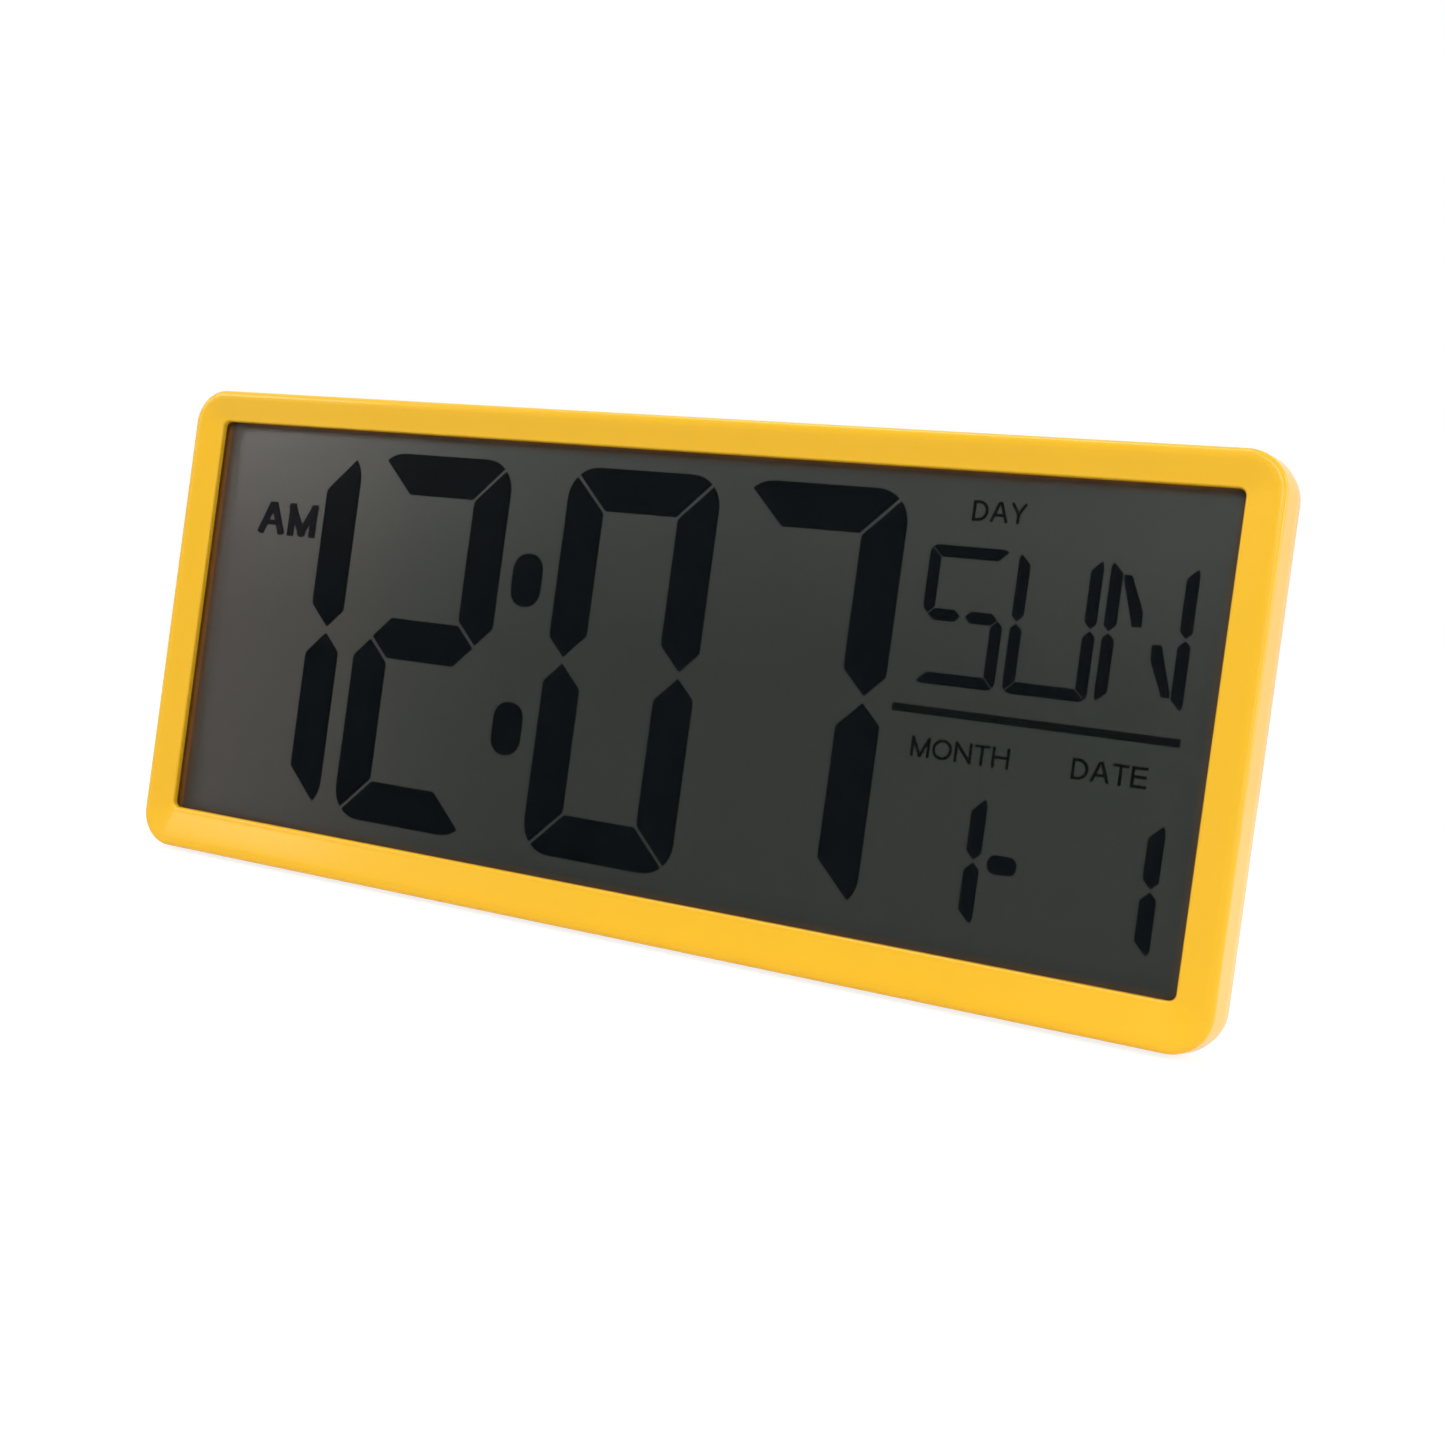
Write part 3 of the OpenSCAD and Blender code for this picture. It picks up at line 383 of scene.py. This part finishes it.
SEGMENT_NODES = ("time_segments", "colon_dots", "day_segments", "date_segments")
for key in SEGMENT_NODES:
    materials[key] = segment_mat
materials["legend_marks"] = legend_mat
for mat in (segment_mat, legend_mat):
    principled(mat).inputs["Specular IOR Level"].default_value = 0.0

for name, mat in materials.items():
    mesh = nodes[name].data
    mesh.materials.clear()
    mesh.materials.append(mat)
# lamps and sky reach the reflector through the clear sheets in front of it
for name in ("front_polariser", "lcd_front_glass", "lcd_rear_glass"):
    nodes[name].visible_shadow = False
# the film lies so close behind the marks that they show no second image in it
for name in SEGMENT_NODES + ("legend_marks",):
    nodes[name].visible_shadow = False
    nodes[name].visible_glossy = False
    nodes[name].visible_diffuse = False
bpy.context.scene.cycles.transparent_max_bounces = 24


# The bezel, lofted as one smooth ring

ARC_STEPS, SIDE_STEPS = 16, 10


def rounded_ring(w, h, r, cz):
    """Points around a rounded rectangle in X and Z, the same number for every size."""
    points = []
    corners = ((1, 1, 0), (-1, 1, 90), (-1, -1, 180), (1, -1, 270))
    for i, (sx, sz, start) in enumerate(corners):
        centre = Vector((sx * (w / 2 - r), cz + sz * (h / 2 - r)))
        for k in range(ARC_STEPS + 1):
            a = math.radians(start + 90 * k / ARC_STEPS)
            points.append(centre + r * Vector((math.cos(a), math.sin(a))))
        nx, nz, nstart = corners[(i + 1) % 4]
        a = math.radians(nstart)
        centre = Vector((nx * (w / 2 - r), cz + nz * (h / 2 - r)))
        after = centre + r * Vector((math.cos(a), math.sin(a)))
        last = points[-1]
        for k in range(1, SIDE_STEPS):
            points.append(last.lerp(after, k / SIDE_STEPS))
    return points


def case_ring(inset):
    return rounded_ring(CASE_W - 2 * inset, CASE_H - 2 * inset, CORNER_R - inset, CASE_H / 2)


crest_ring = case_ring(CREST_IN)
window_ring = rounded_ring(win_w, win_h, WINDOW_R, win_cz)


def face_ring(s):
    """Ring on the dished face, from the crest at 0 to the opening at 1."""
    return [a.lerp(b, s) for a, b in zip(crest_ring, window_ring)]


def face_depth(s, ease=0.16):
    """Depth of the dished face, with a soft start at the crest."""
    fall = s * s / (2 * ease) if s < ease else s - ease / 2
    return DISH * fall / (1 - ease / 2)


def bezel_rings():
    """The cross-section as rings with their depths, from the rear edge round the front and back inside."""
    # radius at the rear, blend between land and slope, and chamfer behind the lip
    rear_r, land_blend, lip_cut = 0.35, 0.4, 0.15
    # where the inner edge starts to round off, as a share of the face, and how far it falls below the dish
    edge_start, edge_fall = 0.915, 0.75
    slope_start = BEZEL_D - WALL_LAND
    rings = [(case_ring(rear_r), BEZEL_D), (case_ring(rear_r * 0.3), BEZEL_D - rear_r * 0.3)]
    rings += [(case_ring(0.0), BEZEL_D - rear_r), (case_ring(0.0), slope_start + land_blend)]
    for s in (0.05, 0.25, 0.5, 0.75):
        rings.append((case_ring(WALL_DRAFT * s), slope_start - (slope_start - EDGE_R) * s))
    for k in range(11):
        a = math.radians(9 * k)
        rings.append((case_ring(WALL_DRAFT + EDGE_R * (1 - math.cos(a))), EDGE_R * (1 - math.sin(a))))
    for s in (0.0, 0.04, 0.08, 0.12, 0.16, 0.3, 0.5, 0.7, 0.83, edge_start):
        rings.append((face_ring(s), face_depth(s)))
    top, low = face_depth(edge_start), DISH + edge_fall
    for k in range(1, 10):
        a = math.radians(10 * k)
        s = edge_start + (1 - edge_start) * math.sin(a)
        rings.append((face_ring(s), top + (low - top) * (1 - math.cos(a))))
    rings.append((window_ring, PLATE - lip_cut))
    lip_rear = rounded_ring(win_w + 2 * lip_cut, win_h + 2 * lip_cut, WINDOW_R + lip_cut, win_cz)
    rings.append((lip_rear, PLATE))
    rings.append((case_ring(WALL), PLATE))
    rings.append((case_ring(WALL), BEZEL_D))
    return rings


def add_tube(bm, x, z, outer, inner, front, bore, rear):
    """Screw boss with a blind bore that opens towards the rear."""
    profile = ((0, front), (outer, front), (outer, rear), (inner, rear), (inner, bore), (0, bore))
    steps = 24
    rows = []
    for r, d in profile:
        spots = 1 if r == 0 else steps
        rows.append([
            bm.verts.new((
                (x + r * math.cos(2 * math.pi * k / steps)) * MM,
                (d - CASE_D / 2) * MM,
                (z + r * math.sin(2 * math.pi * k / steps)) * MM,
            ))
            for k in range(spots)
        ])
    for a, b in zip(rows, rows[1:]):
        for k in range(steps):
            n = (k + 1) % steps
            quad = [a[k % len(a)], a[n % len(a)], b[n % len(b)], b[k % len(b)]]
            bm.faces.new(list(dict.fromkeys(quad)))


# screw bosses: distance of their middles from the outside, radii, and ends measured from the bezel's rear
BOSS_IN, BOSS_R, BORE_R = WALL + 2.3, 2.6, 1.12
BORE_END, BOSS_REAR = 8.5, 2.0


def make_bezel():
    bm = bmesh.new()
    rows = []
    for points, depth in bezel_rings():
        rows.append([bm.verts.new((p.x * MM, (depth - CASE_D / 2) * MM, p.y * MM)) for p in points])
    count = len(rows[0])
    for a, b in zip(rows, rows[1:] + rows[:1]):
        for k in range(count):
            n = (k + 1) % count
            bm.faces.new((a[k], a[n], b[n], b[k]))
    spots = [(s * (CASE_W / 2 - BOSS_IN), CASE_H * f) for s in (-1, 1) for f in (0.2, 0.8)]
    spots += [(s * CASE_W * 0.22, z) for s in (-1, 1) for z in (BOSS_IN, CASE_H - BOSS_IN)]
    for x, z in spots:
        add_tube(bm, x, z, BOSS_R, BORE_R, PLATE - LIP / 2, BEZEL_D - BORE_END, BEZEL_D - BOSS_REAR)
    bmesh.ops.recalc_face_normals(bm, faces=bm.faces)
    mesh = bpy.data.meshes.new("bezel_shell")
    bm.to_mesh(mesh)
    bm.free()
    mesh.shade_smooth()
    mesh.set_sharp_from_angle(angle=math.radians(38))
    obj = bpy.data.objects.new("bezel_shell", mesh)
    bpy.context.scene.collection.objects.link(obj)
    mesh.materials.append(bezel_mat)
    return obj


bezel = make_bezel()
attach(bezel, "case")
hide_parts("front_bezel")


# Softened edges on the carried-over solids

def soften(name, width, angle=35, segments=2):
    """Small moulded radius on a solid's edges."""
    obj = nodes[name]
    weld = obj.modifiers.new("weld", "WELD")
    weld.merge_threshold = 1e-6
    flat = obj.modifiers.new("flat", "DECIMATE")
    flat.decimate_type = "DISSOLVE"
    flat.angle_limit = math.radians(0.5)
    round_off = obj.modifiers.new("round", "BEVEL")
    round_off.width = width * MM
    round_off.segments = segments
    round_off.limit_method = "ANGLE"
    round_off.angle_limit = math.radians(angle)
    round_off.harden_normals = True


SOFT_EDGES = {
    "rear_cover": 0.3, "battery_door": 0.25, "stand_leg": 0.35, "case_screws": 0.06,
    "mode_button": 0.3, "set_button": 0.3, "up_button": 0.3, "down_button": 0.3,
}
for name, width in SOFT_EDGES.items():
    soften(name, width)


# Camera

# fitted to the photo: its side and the focal length in pixels, the turn in radians about an axis,
# places and sensor in millimetres
PHOTO_SIDE, FOCAL, SENSOR = 1445, 1670.1, 36
turn = Vector((-0.01984, 0.43862, 0.13644))
upright_view = Matrix(((1, 0, 0), (0, 0, -1), (0, 1, 0)))
view = Quaternion(turn.normalized(), turn.length).to_matrix() @ upright_view
pivot = Vector((0, -12.7, 81.7))
offset = Vector((-27.415, -15.899, 504.047))
centre = pivot - view.transposed() @ offset
camera_data = bpy.data.cameras.new("camera")
camera_data.sensor_width = SENSOR
camera_data.lens = SENSOR * FOCAL / PHOTO_SIDE
camera_data.clip_start = 0.01
camera = bpy.data.objects.new("camera", camera_data)
bpy.context.scene.collection.objects.link(camera)
axes = Matrix((view[0], -view[1], -view[2])).transposed()
camera.matrix_world = Matrix.Translation(centre * MM) @ axes.to_4x4()
bpy.context.scene.camera = camera


# Stage and light

def white_for_eye(graph_tree):
    """1 for rays that show the background to the camera, directly or in gloss and glass."""
    path = graph_tree.nodes.new("ShaderNodeLightPath")
    total = path.outputs["Is Camera Ray"]
    for name in ("Is Glossy Ray", "Is Transmission Ray"):
        both = graph_tree.nodes.new("ShaderNodeMath")
        both.operation = "MAXIMUM"
        graph_tree.links.new(total, both.inputs[0])
        graph_tree.links.new(path.outputs[name], both.inputs[1])
        total = both.outputs[0]
    return total


FLOOR_HALF, FLOOR_Z = 4.0, -0.0003


def make_floor():
    """Pale floor that keeps the shadow, near white to the eye and greyer with distance to other light."""
    mesh = bpy.data.meshes.new("floor")
    corners = [(x * FLOOR_HALF, y * FLOOR_HALF, FLOOR_Z) for x, y in ((-1, -1), (1, -1), (1, 1), (-1, 1))]
    mesh.from_pydata(corners, [], [(0, 1, 2, 3)])
    floor = bpy.data.objects.new("floor", mesh)
    bpy.context.scene.collection.objects.link(floor)
    g = Graph("floor_white")
    y = g.add("SeparateXYZ", {"Vector": g.coords()}).outputs["Y"]
    beside = g.add("Math", {0: y}, operation="ABSOLUTE").outputs[0]
    pale = g.add("MapRange", {
        "Value": beside, "From Min": 0.03, "From Max": 0.16, "To Min": 0.9, "To Max": 0.55,
    })
    plain = g.add("BsdfDiffuse", {"Color": pale.outputs["Result"]})
    shown = g.add("BsdfDiffuse", {"Color": (0.3, 0.3, 0.3, 1)})
    away = g.add("VectorMath", {0: g.coords()}, operation="LENGTH").outputs["Value"]
    rise = g.add("MapRange", {
        "Value": away, "From Min": 0.25, "From Max": 1.2, "To Min": 0.82, "To Max": 1.0,
    })
    glow = g.add("Emission", {"Color": (1, 1, 1, 1), "Strength": rise.outputs["Result"]})
    lit = g.add("AddShader")
    g.tree.links.new(shown.outputs[0], lit.inputs[0])
    g.tree.links.new(glow.outputs[0], lit.inputs[1])
    mesh.materials.append(g.surface(g.blend(white_for_eye(g.tree), plain, lit)))


FRONT_SKY, BACK_SKY = 0.1, 1.2


def make_world():
    """Sky that is dim in front of the part and bright behind it, and plain white to the eye."""
    world = bpy.data.worlds.new("studio")
    bpy.context.scene.world = world
    world.use_nodes = True
    tree = world.node_tree
    tree.nodes.clear()
    out = tree.nodes.new("ShaderNodeOutputWorld")
    soft = tree.nodes.new("ShaderNodeBackground")
    where = tree.nodes.new("ShaderNodeTexCoord")
    split = tree.nodes.new("ShaderNodeSeparateXYZ")
    rise = tree.nodes.new("ShaderNodeMapRange")
    for key, value in (("From Min", 0.0), ("From Max", 0.6), ("To Min", FRONT_SKY), ("To Max", BACK_SKY)):
        rise.inputs[key].default_value = value
    tree.links.new(where.outputs["Generated"], split.inputs[0])
    tree.links.new(split.outputs["Y"], rise.inputs["Value"])
    tree.links.new(rise.outputs["Result"], soft.inputs["Strength"])
    white = tree.nodes.new("ShaderNodeBackground")
    for sky in (soft, white):
        sky.inputs["Color"].default_value = (1, 1, 1, 1)
    both = tree.nodes.new("ShaderNodeMixShader")
    tree.links.new(white_for_eye(tree), both.inputs[0])
    tree.links.new(soft.outputs[0], both.inputs[1])
    tree.links.new(white.outputs[0], both.inputs[2])
    tree.links.new(both.outputs[0], out.inputs["Surface"])


def softbox(name, place, aim, size, power):
    """Area lamp that isn't seen itself."""
    lamp = bpy.data.lights.new(name, "AREA")
    lamp.shape = "RECTANGLE"
    lamp.size, lamp.size_y = size
    lamp.energy = power
    obj = bpy.data.objects.new(name, lamp)
    bpy.context.scene.collection.objects.link(obj)
    obj.location = place
    obj.rotation_euler = (Vector(aim) - Vector(place)).to_track_quat("-Z", "Y").to_euler()
    obj.visible_camera = False


make_floor()
make_world()
MIDDLE = (0, 0, 0.08)
softbox("key", (0.5, -1.5, 0.75), MIDDLE, (1.0, 0.8), 11.9)
softbox("top", (-0.3, -0.5, 1.6), MIDDLE, (1.2, 0.6), 13)
softbox("fill", (1.3, -1.1, 0.25), MIDDLE, (0.6, 0.6), 3.9)
softbox("side", (-1.28, -1.08, 0.62), MIDDLE, (0.5, 0.5), 5.4)
softbox("rim", (1.2, 0.17, 0.45), MIDDLE, (0.3, 0.8), 4.6)

bpy.context.scene.view_settings.view_transform = "Standard"

bpy.context.view_layer.update()
